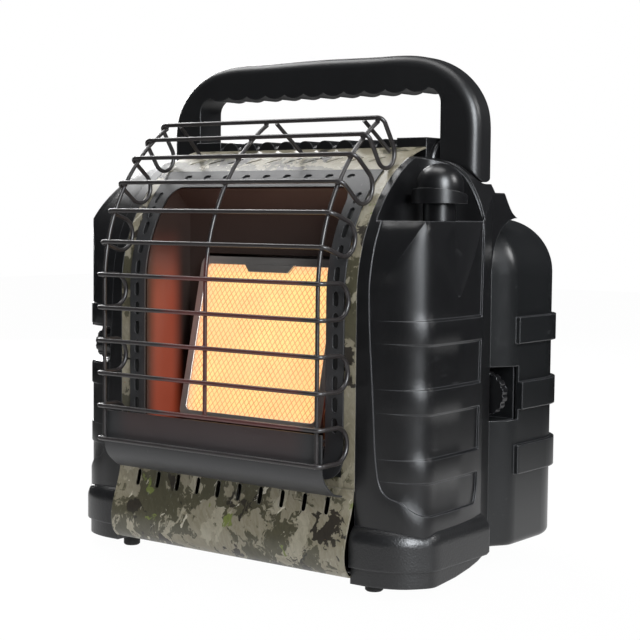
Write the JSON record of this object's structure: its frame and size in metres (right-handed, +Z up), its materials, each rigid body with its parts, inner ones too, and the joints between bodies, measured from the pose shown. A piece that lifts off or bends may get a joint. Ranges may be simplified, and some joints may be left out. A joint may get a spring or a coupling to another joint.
{
  "type": "portable propane heater",
  "caption": "Portable radiant propane heater with wire guard, glowing burner, carry handle, push-and-turn knob and swing-open gas cylinder cover.",
  "frame": {"origin": "on the surface that the feet stand on, under the middle of the whole heater's outline", "axes": "+Z up; -Y is the front, where the guard and burner are; +X is the side with the control knob; +Y is the cylinder cover"},
  "size_m": [0.334, 0.2576, 0.384],
  "materials": {
    "printed_sheet": "printed woodland-style camouflage under a satin lacquer",
    "black_steel": "matt black heat-resistant powder coat",
    "guard_wire": "semi-gloss black dip coat",
    "reflector_steel": "dark aluminised steel lit red by the burner",
    "burner_steel": "stamped stainless",
    "burner_mesh": "glowing wire screen",
    "ceramic": "porous ceramic",
    "galvanised": "zinc coated",
    "brass": "machined",
    "copper_probe": "drawn copper",
    "aluminium_tube": "drawn tube",
    "zinc_casting": "die cast, tumbled",
    "regulator_red": "moulded",
    "housing_plastic": "fine-textured black moulding",
    "cover_plastic": "fine-textured black moulding",
    "bumper_plastic": "pebbled black moulding",
    "handle_plastic": "satin black moulding",
    "knob_plastic": "polished black moulding",
    "foot_rubber": "moulded"
  },
  "bodies": {
    "heater": {"front_sheet": "printed_sheet", "lower_panel": "printed_sheet", "apron": "black_steel", "bezel": "black_steel", "reflector": "reflector_steel", "combustion_floor": "black_steel", "burner_frame": "burner_steel", "burner_screen": "burner_mesh", "burner_tile": "ceramic", "burner_plenum": "galvanised", "mixing_tube": "galvanised", "orifice_holder": "brass", "heat_shield": "galvanised", "pilot_bracket": "galvanised", "pilot_burner": "burner_steel", "thermocouple": "copper_probe", "spark_electrode": "ceramic", "guard_loop_1": "guard_wire", "guard_loop_2": "guard_wire", "guard_loop_3": "guard_wire", "guard_loop_4": "guard_wire", "guard_loop_5": "guard_wire", "guard_loop_6": "guard_wire", "guard_upright_left": "guard_wire", "guard_upright_middle": "guard_wire", "guard_upright_right": "guard_wire", "guard_legs": "guard_wire", "side_housing_right": "housing_plastic", "side_housing_left": "housing_plastic", "bumper_right": "bumper_plastic", "bumper_left": "bumper_plastic", "base_pan": "galvanised", "feet": "foot_rubber", "rear_housing": "housing_plastic", "pivot_collars": "housing_plastic", "pivot_pins": "burner_steel", "gas_valve": "brass", "knob_collar": "knob_plastic", "supply_tube": "aluminium_tube", "burner_tube": "aluminium_tube", "pilot_tube": "aluminium_tube", "piezo_igniter": "knob_plastic", "regulator_bracket": "galvanised", "hinge_knuckles": "housing_plastic", "hinge_pins": "burner_steel", "hose_inlet": "brass", "tip_switch": "galvanised", "screws": "burner_steel"},
    "handle": {"handle": "handle_plastic"},
    "valve_cone": {"valve_cone": "brass"},
    "knob": {"valve_spindle": "brass", "control_knob": "knob_plastic"},
    "regulator": {"regulator_body": "zinc_casting", "swivel_pin": "burner_steel", "regulator_cap": "regulator_red", "cylinder_socket": "brass"},
    "cover": {"cylinder_cover": "cover_plastic"},
    "latch": {"latch_wheel": "knob_plastic"},
    "inlet_cap": {"hose_cap": "knob_plastic"},
    "pendulum": {"tip_pendulum": "burner_steel"}
  },
  "joints": [
    {"name": "handle_fold", "type": "hinge", "parent": "heater", "child": "handle", "pos_m": [0, 0.0148, 0.3015], "axis": [-1, 0, 0], "range_deg": [0, 90]},
    {"name": "knob_turn", "type": "hinge", "parent": "heater", "child": "valve_cone", "pos_m": [0.142, -0.0367, 0.22], "axis": [0, 0, 1], "range_deg": [0, 180]},
    {"name": "knob_press", "type": "slide", "parent": "valve_cone", "child": "knob", "axis": [0, 0, -1], "range_m": [0, 0.005], "stiffness_N_per_m": 900, "springref_m": -0.004},
    {"name": "regulator_tilt", "type": "hinge", "parent": "heater", "child": "regulator", "pos_m": [0, 0.044, 0.242], "axis": [1, 0, 0], "range_deg": [0, 18]},
    {"name": "cover_swing", "type": "hinge", "parent": "heater", "child": "cover", "pos_m": [-0.1555, 0.029, 0.13], "axis": [0, 0, 1], "range_deg": [0, 90]},
    {"name": "latch_turn", "type": "hinge", "parent": "cover", "child": "latch", "pos_m": [0.1465, 0.024, 0.133], "axis": [0, 1, 0], "range_deg": [0, 90]},
    {"name": "inlet_cap_pull", "type": "slide", "parent": "heater", "child": "inlet_cap", "axis": [-1, 0, 0], "range_m": [0, 0.014]},
    {"name": "tip_swing", "type": "hinge", "parent": "heater", "child": "pendulum", "pos_m": [-0.062, -0.03, 0.052], "axis": [1, 0, 0], "range_deg": [-12, 12]}
  ]
}
